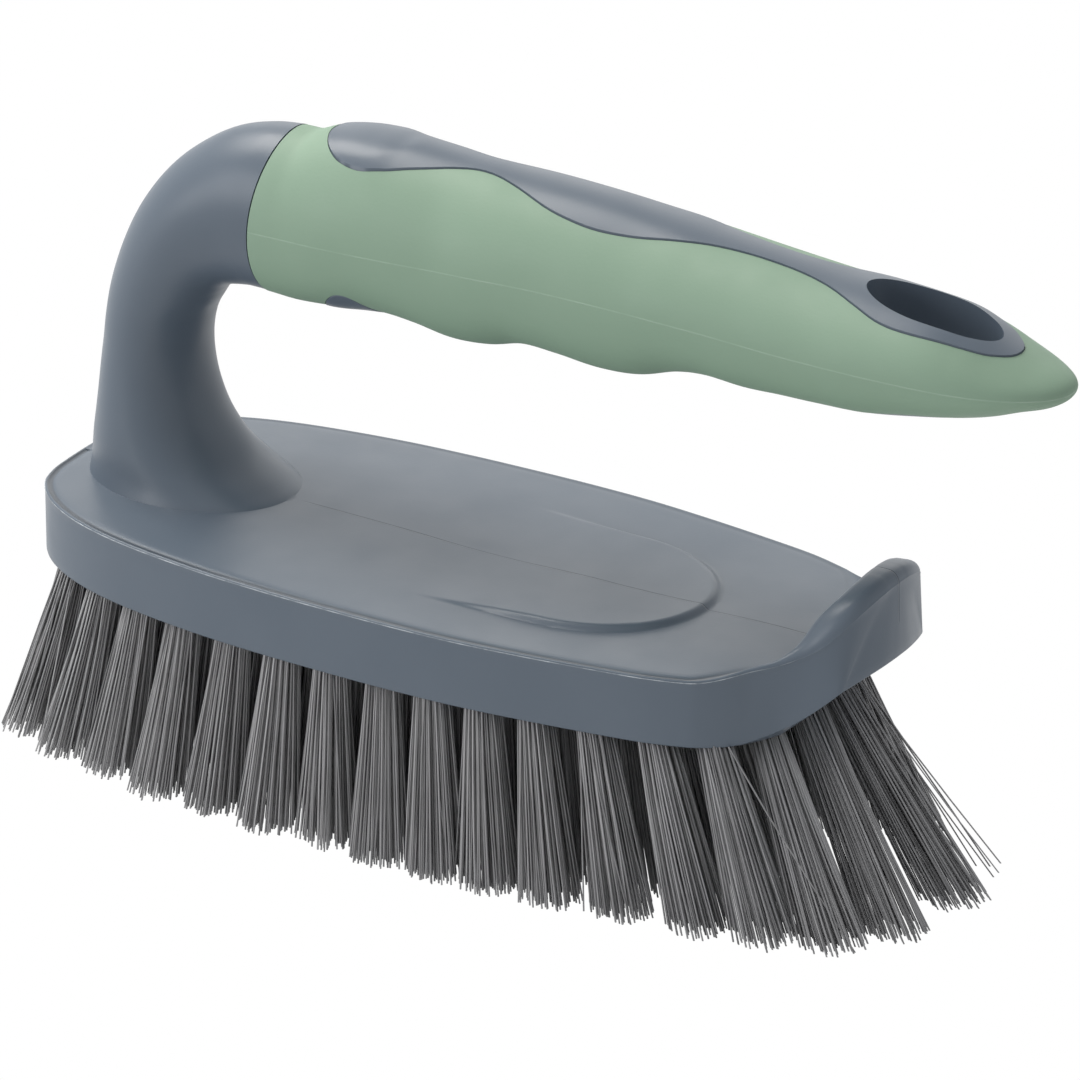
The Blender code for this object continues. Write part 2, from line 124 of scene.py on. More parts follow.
def combine(piece, other, operation):
    # joins or cuts at once and drops the other object
    modifier = piece.modifiers.new("combine", 'BOOLEAN')
    modifier.operation = operation
    modifier.solver = 'EXACT'
    modifier.object = other
    bpy.context.view_layer.update()
    seen = piece.evaluated_get(bpy.context.evaluated_depsgraph_get())
    result = bpy.data.meshes.new_from_object(seen)
    piece.modifiers.clear()
    old = piece.data
    piece.data = result
    bpy.data.meshes.remove(old)
    bpy.data.objects.remove(other)


def prism(name, outline, low, high):
    # an upright column over an outline
    bm = bmesh.new()
    face = bm.faces.new([bm.verts.new(place(x, y, low)) for x, y in outline])
    grown = bmesh.ops.extrude_face_region(bm, geom=[face])
    raised = [item for item in grown["geom"] if isinstance(item, bmesh.types.BMVert)]
    bmesh.ops.translate(bm, verts=raised, vec=(0, 0, (high - low) / 1000))
    bmesh.ops.recalc_face_normals(bm, faces=bm.faces)
    return keep(bm, name)


def oval(size, grow=0.0):
    # centre x, half-length and half-width, wider all round by grow
    x, length, width = size
    count = 96
    turns = [2 * math.pi * k / count for k in range(count)]
    return [(x + (length + grow) * math.cos(turn), (width + grow) * math.sin(turn))
            for turn in turns]


def finish(piece, surface, replaced, smoothTo):
    # edges sharper than smoothTo degrees stay sharp
    piece.data.materials.clear()
    piece.data.materials.append(surface)
    piece.data.shade_smooth()
    piece.data.set_sharp_from_angle(angle=math.radians(smoothTo))
    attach(piece, "root")
    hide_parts(*replaced)


# Materials

# most of a noise texture's values lie between these
noiseLow, noiseHigh = 0.3, 0.7


def newMaterial(name, roughness):
    surface = bpy.data.materials.new(name)
    surface.use_nodes = True
    tree = surface.node_tree
    shader = tree.nodes["Principled BSDF"]
    shader.inputs["Roughness"].default_value = roughness
    return surface, tree, shader, tree.nodes.new("ShaderNodeTexCoord").outputs["Object"]


def noiseAt(tree, where, scale, detail=3, rough=0.5):
    noise = tree.nodes.new("ShaderNodeTexNoise")
    noise.inputs["Scale"].default_value = scale
    noise.inputs["Detail"].default_value = detail
    noise.inputs["Roughness"].default_value = rough
    tree.links.new(where, noise.inputs["Vector"])
    return noise.outputs["Fac"]


def attributeOf(tree, name):
    node = tree.nodes.new("ShaderNodeAttribute")
    node.attribute_name = name
    return node.outputs["Fac"]


def spread(tree, value, low, high, toLow, toHigh):
    ramp = tree.nodes.new("ShaderNodeMapRange")
    ramp.inputs["From Min"].default_value = low
    ramp.inputs["From Max"].default_value = high
    ramp.inputs["To Min"].default_value = toLow
    ramp.inputs["To Max"].default_value = toHigh
    tree.links.new(value, ramp.inputs["Value"])
    return ramp.outputs["Result"]


def mixColour(tree, factor, first, second):
    mix = tree.nodes.new("ShaderNodeMix")
    mix.data_type = 'RGBA'
    tree.links.new(factor, mix.inputs["Factor"])
    for socket, colour in ((mix.inputs["A"], first), (mix.inputs["B"], second)):
        if isinstance(colour, tuple):
            socket.default_value = (*colour, 1)
        else:
            tree.links.new(colour, socket)
    return mix.outputs["Result"]


def arithmetic(tree, operation, first, second=None):
    node = tree.nodes.new("ShaderNodeMath")
    node.operation = operation
    for socket, value in zip(node.inputs, (first, second)):
        if isinstance(value, (int, float)):
            socket.default_value = value
        elif value is not None:
            tree.links.new(value, socket)
    return node.outputs[0]


def roughen(tree, shader, where, look, detail):
    # patches that are a little smoother or rougher than the rest
    smoother, rougher = look["stray"]
    patches = noiseAt(tree, where, look["patches"], detail)
    rough = spread(tree, patches, noiseLow, noiseHigh, look["roughness"] - smoother,
                   look["roughness"] + rougher)
    tree.links.new(rough, shader.inputs["Roughness"])


def bump(tree, shader, layers):
    # layers of (height, distance in metres), one over the other
    below = None
    for height, distance in layers:
        node = tree.nodes.new("ShaderNodeBump")
        node.inputs["Strength"].default_value = 1
        node.inputs["Distance"].default_value = distance
        tree.links.new(height, node.inputs["Height"])
        if below:
            tree.links.new(below, node.inputs["Normal"])
        below = node.outputs["Normal"]
    tree.links.new(below, shader.inputs["Normal"])


plastic = {
    "dark": (0.080, 0.104, 0.136),
    "light": (0.094, 0.119, 0.152),
    "cloud": 60,                # scale of the mix of the two
    "roughness": 0.36,
    "stray": (0.035, 0.045),    # how far roughness goes below and above
    "patches": 110,
    "specular": 0.36,
    "wave": (45, 0.00010),      # scale and depth
    "grain": (2600, 0.000008),
}
rubber = {
    "dark": (0.176, 0.270, 0.198),
    "light": (0.200, 0.298, 0.222),
    "line": (0.34, 0.46, 0.37),
    "cloud": 38,
    "roughness": 0.62,
    "stray": (0.05, 0.06),
    "patches": 150,
    "wave": (40, 0.00015),
    "grain": (1900, 0.00002),
    # the mould's line: height, strength, millimetres from its middle within which it is full
    # and past which it is gone, and the noise that breaks it up
    "ridge": 0.00006,
    "lineStrength": 0.55,
    "lineFull": 0.05,
    "lineGone": 0.16,
    "breaks": 160,
    "breakRange": (0.35, 0.65),
    "faintest": 0.25,
}
filamentLook = {
    "dark": (0.100, 0.100, 0.105),
    "light": (0.385, 0.388, 0.402),
    "mottle": (160, 0.08),
    "roughness": 0.34,
    "stray": (0.05, 0.06),
    "patches": 300,
    "grain": (1200, 0.000004),
}
# the mould's seam along the middle of the top, over the nose's crest and a little way down the
# front, and the painted highlight on the flash and the painted shade in the channel along the top
# edge
seam = {
    # the seam's dark colour, also used for the painted shade in the channel inside the top edge
    "colour": (0.035, 0.042, 0.052),
    "strength": 0.45,
    "depth": 0.00006,
    "full": 0.00004,            # from its middle to here it is full, past gone there is none
    "gone": 0.00016,
    "wobble": 0.00012,          # how far it strays to either side
    "wobbleScale": 90,
    "start": (0.042, 0.046),    # fades in over these from the block's back
    "over": (0.0110, 0.0116),   # and over these heights from its foot
    "front": (0.1465, 0.148),   # the nose's front, where it ends higher
    "higher": 0.0064,
    # painted highlight along the flash ridge of the top edge: its colour and how strongly it
    # shows
    "flash": (0.54, 0.58, 0.62),
    "flashHighlightStrength": 0.9,
    "ragged": (300, 5, 0.7),    # scale, detail and roughness of the noise that breaks the flash's painted highlight
    "raggedRange": (0.42, 0.62),
    "faintest": 0.25,
    # how strongly painted shade darkens the channel inside the top edge
    "channelShadeStrength": 0.6,
}


def addSeam(tree, where, colour):
    # the seam's strength at each place, and the colour with the seam, the flash's painted
    # highlight and the channel's painted shade in it
    split = tree.nodes.new("ShaderNodeSeparateXYZ")
    tree.links.new(where, split.inputs[0])
    x, y, z = split.outputs
    wobble = spread(tree, noiseAt(tree, where, seam["wobbleScale"], 2), 0, 1,
                    -seam["wobble"], seam["wobble"])
    away = arithmetic(tree, 'ABSOLUTE', arithmetic(tree, 'ADD', y, wobble))
    line = spread(tree, away, seam["full"], seam["gone"], 1, 0)
    start, over, front = seam["start"], seam["over"], seam["front"]
    ahead = spread(tree, x, blockBack + start[0], blockBack + start[1], 0, 1)
    lift = spread(tree, x, blockBack + front[0], blockBack + front[1], 0, seam["higher"])
    height = arithmetic(tree, 'SUBTRACT', z, lift)
    above = spread(tree, height, blockFoot + over[0], blockFoot + over[1], 0, 1)
    line = arithmetic(tree, 'MULTIPLY', arithmetic(tree, 'MULTIPLY', line, ahead), above)
    tinted = arithmetic(tree, 'MULTIPLY', line, seam["strength"])
    colour = mixColour(tree, tinted, colour, seam["colour"])
    edge = attributeOf(tree, "edge")
    ragged = spread(tree, noiseAt(tree, where, *seam["ragged"]), *seam["raggedRange"],
                    seam["faintest"], 1)
    # painted highlight on the flash ridge, broken up by noise
    flashHighlight = spread(tree, edge, 0.1, 1, 0, seam["flashHighlightStrength"])
    colour = mixColour(tree, arithmetic(tree, 'MULTIPLY', flashHighlight, ragged), colour, seam["flash"])
    # painted shade in the channel inside the top edge and behind the nose's crest
    sunk = spread(tree, edge, -1, 0, seam["channelShadeStrength"], 0)
    return line, mixColour(tree, sunk, colour, seam["colour"])


def moulded(name, look, seamed):
    # satin moulded plastic: faint cloudiness, a fine grain and perhaps the mould's seam, with a
    # painted highlight on the top edge's flash and painted shade in its channel
    surface, tree, shader, where = newMaterial(name, look["roughness"])
    shader.inputs["Specular IOR Level"].default_value = look["specular"]
    colour = mixColour(tree, noiseAt(tree, where, look["cloud"]), look["dark"], look["light"])
    roughen(tree, shader, where, look, 4)
    layers = [(noiseAt(tree, where, look["wave"][0], 1), look["wave"][1]),
              (noiseAt(tree, where, look["grain"][0], 2), look["grain"][1])]
    if seamed:
        line, colour = addSeam(tree, where, colour)
        layers.append((line, -seam["depth"]))
    tree.links.new(colour, shader.inputs["Base Color"])
    bump(tree, shader, layers)
    return surface


def softGrip(name, look):
    # matte rubber, with the mould's line along each side where the parting attribute is near 0
    surface, tree, shader, where = newMaterial(name, look["roughness"])
    colour = mixColour(tree, noiseAt(tree, where, look["cloud"], 4), look["dark"], look["light"])
    away = arithmetic(tree, 'ABSOLUTE', attributeOf(tree, "parting"))
    line = spread(tree, away, look["lineFull"], look["lineGone"], 1, 0)
    broken = spread(tree, noiseAt(tree, where, look["breaks"], 3), *look["breakRange"],
                    look["faintest"], 1)
    line = arithmetic(tree, 'MULTIPLY', line, broken)
    tinted = arithmetic(tree, 'MULTIPLY', line, look["lineStrength"])
    colour = mixColour(tree, tinted, colour, look["line"])
    tree.links.new(colour, shader.inputs["Base Color"])
    roughen(tree, shader, where, look, 4)
    bump(tree, shader, [(noiseAt(tree, where, look["wave"][0], 1), look["wave"][1]),
                        (noiseAt(tree, where, look["grain"][0], 3), look["grain"][1]),
                        (line, look["ridge"])])
    return surface


def bristleStuff(name, look):
    # each filament has its own shade, kept in the tint attribute, a little uneven along it
    surface, tree, shader, where = newMaterial(name, look["roughness"])
    scale, change = look["mottle"]
    mottle = spread(tree, noiseAt(tree, where, scale, 2), noiseLow, noiseHigh, -change, change)
    shade = arithmetic(tree, 'ADD', attributeOf(tree, "tint"), mottle)
    colour = mixColour(tree, shade, look["dark"], look["light"])
    tree.links.new(colour, shader.inputs["Base Color"])
    roughen(tree, shader, where, look, 2)
    bump(tree, shader, [(noiseAt(tree, where, look["grain"][0], 1), look["grain"][1])])
    return surface


slatePlastic = moulded("slatePlastic", plastic, True)
corePlastic = moulded("corePlastic", plastic, False)
sageRubber = softGrip("sageRubber", rubber)
greyFilament = bristleStuff("greyFilament", filamentLook)
print("materials made")

# Block with its upturned nose

block = {
    "around": 520,          # points round the outline
    "thickness": 11.5,
    "noseRise": 15.7,       # rise of the edge over the block that counts as full
    "rim": 0.3,             # round of the top edge
    "noseRim": 1.6,         # how much rounder it gets up the nose
    "backRim": 0.8,         # round behind the crest, as a share of the rim
    # how many times sooner than at the full rise these are complete
    "rimPace": 1.6,
    "backPace": 4,
    "crestPace": 1.5,
    "groovePace": 5,
    "foot": 0.5,            # round of the lower edge
    "slopeRun": 13.3,       # how far the nose's underside runs in under its lower edge
    "flash": 0.10,          # the mould's thin ridge along the top edge
    "flashLess": 0.6,       # share of it that is gone at the full rise
    "flashLift": 0.02,
    "highlightFade": 3.5,       # rise of the edge over which its painted highlight ends
    "groove": 0.22,         # shallow channel just inside the edge
    "grooveWidth": 0.5,
    "shadeFade": 3.0,      # rise of the edge over which the painted shade inside the edge ends
    "farGroove": 0.25,      # share of its depth on the far side
    "farShade": 0.2,         # share of the painted shade there
    # height of the middle of the top over its edge: a low crown that turns into a shallow dish
    # round the pad
    "crown": [
        (0, 0.6), (40, 0.6), (60, 0.35), (75, -0.15), (90, -0.6), (102, -0.75), (112, -0.6),
        (122, -0.1), (132, 0.3), (160, 0.4)],
    "crest": 5.1,           # thickness of the nose's crest
    "sweep": 9.0,           # how far the hollow behind the crest reaches
    "sweepGrowth": 0.55,    # power of the rise with which it gets there
    "hollow": 2.1,          # how steeply the hollow starts
    "spine": (27, 112),     # the middle line that the top's rows close in on
    # lower edge, then upper edge, from the back round to the front
    "rails": [
        (0.0, 0.0, 0, 0.0, 0.0, 11.5), (0.1, 4.8, 0, 0.1, 4.8, 11.5),
        (0.5, 9.4, 0, 0.5, 9.4, 11.5), (2.1, 14.0, 0, 2.1, 14.0, 11.5),
        (6.0, 18.6, 0, 6.0, 18.6, 11.5), (11.8, 22.5, 0, 11.8, 22.5, 11.5),
        (19.4, 25.6, 0, 19.4, 25.6, 11.5), (29.0, 27.9, 0, 29.0, 27.9, 11.5),
        (42.0, 29.8, 0, 42.0, 29.8, 11.5), (54.0, 30.7, 0, 54.0, 30.7, 11.5),
        (66.0, 31.1, 0, 66.0, 31.1, 11.5), (78.0, 31.2, 0, 78.0, 31.2, 11.5),
        (90.0, 30.8, 0, 90.0, 30.8, 11.5), (102.0, 29.6, 0, 102.0, 29.6, 11.5),
        (113.0, 28.1, 0, 113.0, 28.1, 11.5), (122.0, 26.6, 0, 122.0, 26.6, 11.5),
        (128.5, 24.7, 0, 128.5, 24.7, 11.5), (131.0, 23.5, 0, 131.0, 23.5, 11.65),
        (133.0, 22.2, 0, 133.1, 22.1, 12.05), (135.0, 20.7, 0.15, 135.1, 20.6, 12.65),
        (137.0, 19.0, 0.6, 137.2, 18.8, 13.35), (140.5, 16.4, 2.2, 140.5, 16.8, 14.45),
        (144.0, 15.0, 4.5, 143.5, 15.2, 16.2), (147.2, 14.0, 7.2, 145.5, 14.3, 17.75),
        (149.1, 13.2, 9.0, 147.2, 13.5, 19.4), (149.6, 12.85, 9.5, 149.2, 12.0, 21.8),
        (149.8, 12.6, 9.7, 150.8, 9.7, 23.8), (149.9, 12.4, 9.8, 151.8, 6.4, 25.2),
        (150.0, 12.1, 9.85, 152.25, 3.9, 25.85), (151.3, 8.4, 10.7, 152.35, 2.3, 26.05),
        (152.3, 4.0, 11.3, 152.4, 1.1, 26.15), (152.6, 0.0, 11.5, 152.45, 0.0, 26.15)],
}
blockRail = evenly(block["rails"], block["around"] // 2 + 1, 6)

# how the surface goes from the middle of the underside round the edge to the middle of the top
blockRows = ([("middle", 0), ("under", 6), ("under", 0)] + [("foot", a) for a in (30, 60, 90)]
             + [("wall", a / 8) for a in range(1, 8)] + [("wall", 0.985), ("flash", 0)]
             + [("rim", a) for a in (3, 15, 30, 45, 60, 75, 90)]
             + [("crest", a) for a in (0, 30, 60, 80)]
             + [("sweep", a) for a in (0.03, 0.08, 0.16, 0.26, 0.38, 0.52, 0.68, 0.84, 1)]
             + [("top", a) for a in (0.008, 0.016, 0.024, 0.034, 0.05, 0.08)]
             + [("top", a) for a in (0.12, 0.17, 0.22, 0.26)]
             + [("top", 0.285 + 0.0115 * k) for k in range(52)]
             + [("top", a) for a in (0.9, 0.94, 0.975, 1)])

pad = {
    "back": 74.0,
    "front": 117.6,
    "halfWidth": 17.5,
    "widening": 0.07,   # toward the back
    "nose": 21.0,       # length of the rounded end
    "height": 1.0,
    "soft": 1.5,        # width of its soft side
    "narrow": 0.6,      # how much of that it lacks where it starts
    "firm": 1.35,       # how much fuller its side is above than below
    "ramp": 26.0,       # over which it rises out of the block
}


def padLift(x, y):
    # the pad's height over the block's top: nothing at the back, most round its nose
    straight = pad["front"] - pad["nose"]
    if x > straight:
        away = math.hypot((x - straight) / pad["nose"], y / pad["halfWidth"])
        inside = (1 - away) * pad["halfWidth"]
    else:
        inside = pad["halfWidth"] + pad["widening"] * (straight - x) - abs(y)
    grown = eased((x - pad["back"]) / pad["ramp"])
    side = pad["soft"] - pad["narrow"] * (1 - grown)
    share = min(max(inside / side + 0.5, 0), 1)
    return pad["height"] * grown * eased(1 - (1 - share) ** pad["firm"])


def inward(x, y, distance):
    # a point moved level toward the block's middle line
    low, high = block["spine"]
    gx, gy = min(max(x, low), high) - x, -y
    length = math.hypot(gx, gy) or 1
    distance = min(distance, length)
    return x + gx / length * distance, y + gy / length * distance


def topPoint(x, y, amount, share, groove):
    # from the end of the hollow at x, y to the middle line
    low, high = block["spine"]
    sx = min(max(x, low), high)
    crown = atX(block["crown"], x + (sx - x) * amount)[0] * (1 - (1 - amount) ** 2)
    fromEdge = math.hypot(x - sx, y) * amount
    wide = block["grooveWidth"]
    dip = groove * math.exp(-((fromEdge - wide) / wide) ** 2)
    dip *= max(1 - share * block["groovePace"], 0)
    x, y = x + (sx - x) * amount, y * (1 - amount)
    return x, y, block["thickness"] + crown + padLift(x, y) - dip


def blockRow(rail, row, groove):
    # one point of a row above a point of the rails
    lx, ly, lz, ux, uy, uz = rail
    kind, amount = row
    thickness, foot = block["thickness"], block["foot"]
    share = max(uz - thickness, 0) / block["noseRise"]
    rim = block["rim"] + block["noseRim"] * eased(share * block["rimPace"])
    turn = math.radians(amount)
    if kind == "middle":
        return min(max(lx, block["spine"][0]), block["spine"][1]), 0, 0
    if kind == "under":
        return (*inward(lx, ly, foot + block["slopeRun"] * lz / thickness + amount), 0)
    if kind == "foot":
        return (*inward(lx, ly, foot * (1 - math.sin(turn))), lz + foot * (1 - math.cos(turn)))
    if kind == "wall":
        low, high = lz + foot, uz - rim
        return lx + (ux - lx) * amount, ly + (uy - ly) * amount, low + (high - low) * amount
    if kind == "flash":
        out = block["flash"] * (1 - block["flashLess"] * share)
        return (*inward(ux, uy, -out), uz - rim + block["flashLift"])
    if kind == "rim":
        return (*inward(ux, uy, rim * (1 - math.cos(turn))), uz - rim + rim * math.sin(turn))
    back = rim * block["backRim"] * min(share * block["backPace"], 1)
    width = block["crest"] * eased(share * block["crestPace"])
    if kind == "crest":
        flat = max(width - rim - back, 0)
        return (*inward(ux, uy, rim + flat + back * math.sin(turn)),
                uz - back * (1 - math.cos(turn)))
    width = max(width, rim)
    reach = block["sweep"] * max(share, 0.001) ** block["sweepGrowth"]
    if kind == "sweep":
        fall = (1 - amount) ** block["hollow"]
        return (*inward(ux, uy, width + reach * amount),
                thickness + max(uz - back - thickness, 0) * fall)
    return topPoint(*inward(ux, uy, width + reach), amount, share, groove)


def railAt(u):
    # the point of the rails at u round the block, and whether it is on the near side
    k = round(u * block["around"])
    near = k <= block["around"] // 2
    return blockRail[k if near else block["around"] - k], near


def rowAt(v):
    return blockRows[round(v * (len(blockRows) - 1))]


def blockPoint(u, v):
    rail, near = railAt(u)
    groove = block["groove"] * (1 if near else block["farGroove"])
    x, y, z = blockRow(rail, rowAt(v), groove)
    return place(x, -y if near else y, z)


def edgeHighlightAndShade(u, v):
    # 1 for the painted highlight on the flash along the top edge, below 0 for painted shade in
    # the channel inside it and on the crest and hollow where the nose starts, both fading as the
    # edge rises
    kind, amount = rowAt(v)
    rail, near = railAt(u)
    level = rail[5] - block["thickness"]
    if kind == "flash" or kind == "rim" and amount == 3:
        return min(max(1 - level / block["highlightFade"], 0), 1)
    # painted shade in the channel and on the crest and hollow of the nose's start
    if kind in ("crest", "sweep") or kind == "top" and amount < 0.03:
        return -max(1 - level / block["shadeFade"], 0) * (1 if near else block["farShade"])
    return 0


bodyPiece = keep(skin(blockPoint, block["around"], len(blockRows) - 1, edgeHighlightAndShade), "brushBody")

# Handle's measures

grip = {
    # x, half-width, centre z, half-height
    "stations": [
        (37.0, 10.4, 62.75, 14.15), (41.0, 10.75, 62.65, 14.2), (45.0, 10.9, 62.6, 14.3),
        (51.0, 11.3, 63.1, 14.3), (57.0, 11.55, 64.15, 14.45), (62.0, 11.8, 64.6, 14.8),
        (67.5, 12.0, 64.2, 14.85), (74.0, 12.1, 63.5, 15.1), (80.5, 12.4, 63.65, 14.75),
        (87.0, 12.5, 64.3, 13.8), (94.0, 12.5, 64.05, 13.8), (101.0, 12.6, 63.55, 13.9),
        (108.0, 12.65, 63.5, 13.35), (115.0, 12.6, 64.25, 11.95), (121.0, 12.6, 64.3, 11.25),
        (128.0, 12.6, 63.75, 11.1), (134.5, 12.6, 63.55, 10.65), (141.0, 12.55, 63.35, 10.3),
        (150.0, 12.5, 63.35, 9.85), (160.0, 11.95, 63.7, 8.5), (166.0, 11.2, 63.5, 6.95),
        (171.0, 9.95, 63.2, 5.25), (175.5, 8.1, 63.2, 3.6), (178.8, 5.9, 63.15, 2.6),
        (180.7, 3.9, 63.2, 1.75), (181.7, 2.0, 63.25, 0.9), (182.0, 0.0, 63.3, 0.0)],
    "around": 144,
    "along": 210,
    "coreAround": 96,
    "coreAlong": 120,
    "start": 39.7,
    "coreStart": 39.85,
    "coreEnd": 173.7,
    "hollow": (30.0, 174.0),    # reach of the room for the core
    "end": 182.0,
    "crowding": 1.7,            # how closely the points gather at the tip
    "slant": math.tan(math.radians(5.5)),
    "slantReach": 14,
    "bow": 1.1,                 # how far the collar comes forward above and below
    "wall": 2.2,
    "gap": 0.1,
    "sunk": 0.05,               # how far the core lies back in the window below
    "raised": 0.32,             # how much farther out it stands in the top window
    "raisedPace": 3,            # how soon it does above the grip's widest line
    # the long window on top: x, half-width
    "window": [
        (49.5, 0), (49.7, 2.0), (50.8, 4.3), (52.6, 6.1), (55.1, 7.3), (59.0, 7.9), (62.9, 7.3),
        (66.5, 6.25), (70.1, 5.1), (74.0, 3.7), (77.7, 2.8), (81.4, 3.0), (85.8, 4.2),
        (91.6, 6.1), (96.6, 7.0), (102.2, 7.3), (108.9, 6.6), (115.1, 5.1), (121.3, 3.5),
        (127.9, 2.7), (135.1, 2.8), (141.0, 3.9), (147.0, 6.2), (152.0, 7.8), (157.0, 8.1),
        (162.5, 7.4), (168.5, 5.5), (171.4, 3.4), (172.7, 1.7), (173.0, 0)],
    # centre x, half-length, half-width
    "hole": (157.9, 11.6, 5.7),
    "holeBelow": (157.0, 14.2, 8.0),
    "thumbBelow": (55.2, 5.8, 8.3),
    # heights between which the windows above and below and the hole are cut
    "topCut": (64, 100),
    "holeBelowCut": (30, 64.5),
    "thumbBelowCut": (30, 60),
    "holeCut": (30, 100),
    # the thumb's place: middle, reach behind and ahead of it, and height
    "thumbX": 53.4,
    "thumbBack": 9.5,
    "thumbReach": 10.5,
    "thumbRise": 1.95,
    "thumbShape": 1.6,          # the higher, the more pointed
    # depth of the dish in it, then its middle and half-sizes
    "thumbDish": 1.0,
    "dishMiddle": (56.4, -0.5),
    "dishSize": (9.5, 6.2),
    "dishShape": 1.4,
    # the core's swelling in the window below the thumb, and its half-sizes
    "bulge": 0.5,
    "bulgeSize": (6.5, 9.0),
    "bulgeShape": 0.7,
    # height of the mould's line along each side
    "parting": [
        (37, 62.0), (47, 62.3), (57, 62.7), (67, 63.3), (77, 63.9), (91, 64.6), (106, 64.7),
        (124, 64.3), (138, 63.7), (150, 63.5), (182, 63.2)],
}

# Neck

neck = {
    # centre x, centre z, turn of the section in degrees, half-depth, half-width
    "sections": [
        (22.6, 8.0, 0, 20.2, 14.9), (22.4, 11.5, 0, 18.9, 13.9), (20.7, 14.2, 2.5, 16.6, 13.1),
        (18.0, 18.0, 6, 13.3, 12.5), (16.35, 22.1, 5.7, 10.95, 11.8),
        (15.5, 26.5, 3.4, 9.5, 11.1), (15.2, 31.1, 1.4, 8.7, 10.5),
        (15.4, 35.6, -1, 8.35, 10.15), (16.1, 40.0, -1.5, 8.6, 10.0),
        (17.4, 44.2, 5.5, 9.0, 10.0), (19.5, 49.3, 22.6, 9.2, 10.0),
        (22.4, 54.1, 43.6, 9.9, 10.1), (26.55, 58.25, 64, 11.25, 10.2),
        (32.3, 61.4, 79.6, 12.95, 10.35), (36.4, 62.5, 89, 13.8, 10.55),
        (39.5, 62.75, 95.5, 14.2, 10.65)],
    "around": 112,
    "along": 90,
    "bowFrom": 0.86,    # where along the neck the collar's bow starts
}
neckRows = evenly(neck["sections"], neck["along"] + 1, 2)


def neckPoint(u, v):
    cx, cz, turn, depth, width = neckRows[round(v * neck["along"])]
    around = 2 * math.pi * u
    turn = math.radians(turn)
    reach = depth * math.cos(around)
    grown = eased((v - neck["bowFrom"]) / (1 - neck["bowFrom"]))
    bow = grip["bow"] * math.cos(around) ** 2 * grown
    return place(cx + reach * math.cos(turn) + bow, width * math.sin(around),
                 cz - reach * math.sin(turn))


def takeMarks(piece):
    # the places marked for painted highlight and painted shade, since joining the neck would
    # scatter the marks
    layer = piece.data.attributes["edge"]
    marks = [(vert.co.copy(), item.value)
             for vert, item in zip(piece.data.vertices, layer.data) if item.value]
    piece.data.attributes.remove(layer)
    return marks


def putMarks(piece, marks):
    tree = kdtree.KDTree(len(marks))
    for i, (spot, value) in enumerate(marks):
        tree.insert(spot, i)
    tree.balance()
    layer = piece.data.attributes.new("edge", 'FLOAT', 'POINT')
    for vert, item in zip(piece.data.vertices, layer.data):
        spot, i, away = tree.find(vert.co)
        item.value = marks[i][1] if away < 2e-6 else 0


edgeMarks = takeMarks(bodyPiece)
combine(bodyPiece, keep(skin(neckPoint, neck["around"], neck["along"]), "neckForm"), 'UNION')
putMarks(bodyPiece, edgeMarks)
finish(bodyPiece, slatePlastic, ["brush_body"], smoothTo=30)
print("block, pad and neck made", len(bodyPiece.data.polygons))

# Handle

gripRings = evenly(grip["stations"], 500, 2)


@functools.lru_cache(None)
def gripRing(x):
    return atX(gripRings, x)


def topRise(x):
    # the thumb's place stands up a little
    reach = grip["thumbBack"] if x < grip["thumbX"] else grip["thumbReach"]
    inside = max(0, 1 - ((x - grip["thumbX"]) / reach) ** 2)
    return grip["thumbRise"] * inside ** grip["thumbShape"]


def gripPoint(x, around, shrink):
    # a point of the grip's outside, or of a skin that lies deeper by shrink
    width, centre, height = gripRing(x)
    width, height = max(width - shrink, 0.0), max(height - shrink, 0.0)
    cosine, sine = math.cos(around), math.sin(around)
    z = height * sine
    near = max(0, 1 - (x - grip["coreStart"]) / grip["slantReach"]) ** 2
    lean = (z * grip["slant"] + grip["bow"] * sine * sine) * near
    return x + lean, width * cosine, centre + z + topRise(x) * max(sine, 0) ** 2


def inOval(x, y, middle, size):
    # 1 in the middle of an oval, 0 at its edge and past it
    return max(0, 1 - ((x - middle[0]) / size[0]) ** 2 - ((y - middle[1]) / size[1]) ** 2)


def landPoint(x, around):
    # the core where it shows: proud in the top window, with a dish for the thumb, and swelling
    # in the window below
    raised = grip["raised"] * min(grip["raisedPace"] * max(math.sin(around), 0), 1)
    x, y, z = gripPoint(x, around, grip["sunk"] - raised)
    if 0 < around < math.pi:
        inside = inOval(x, y, grip["dishMiddle"], grip["dishSize"])
        z -= grip["thumbDish"] * inside ** grip["dishShape"]
    if around > math.pi:
        inside = inOval(x, y, (grip["thumbBelow"][0], 0), grip["bulgeSize"])
        z -= grip["bulge"] * inside ** grip["bulgeShape"]
    return x, y, z


def gripSkin(name, first, last, around, along, pointAt):
    # a closed skin along the grip, its rows closer together where it reaches the tip
    def at(u, v):
        reach = 1 - (1 - v) ** grip["crowding"] if last == grip["end"] else v
        return place(*pointAt(first + (last - first) * reach, 2 * math.pi * u))
    return keep(skin(at, around, along), name)


def windowOutline(grow):
    # the long top window's outline, wider all round by grow
    count = 120
    path = evenly(grip["window"], count, 2)
    half = []
    for k, (x, y) in enumerate(path):
        before, after = path[max(k - 1, 0)], path[min(k + 1, count - 1)]
        length = math.dist(before, after)
        half.append((x - (after[1] - before[1]) / length * grow,
                     y + (after[0] - before[0]) / length * grow))
    half = [point for point in half if point[1] > 0.05]
    return ([(grip["window"][0][0] - grow, 0)] + half + [(grip["window"][-1][0] + grow, 0)]
            + [(x, -y) for x, y in reversed(half)])


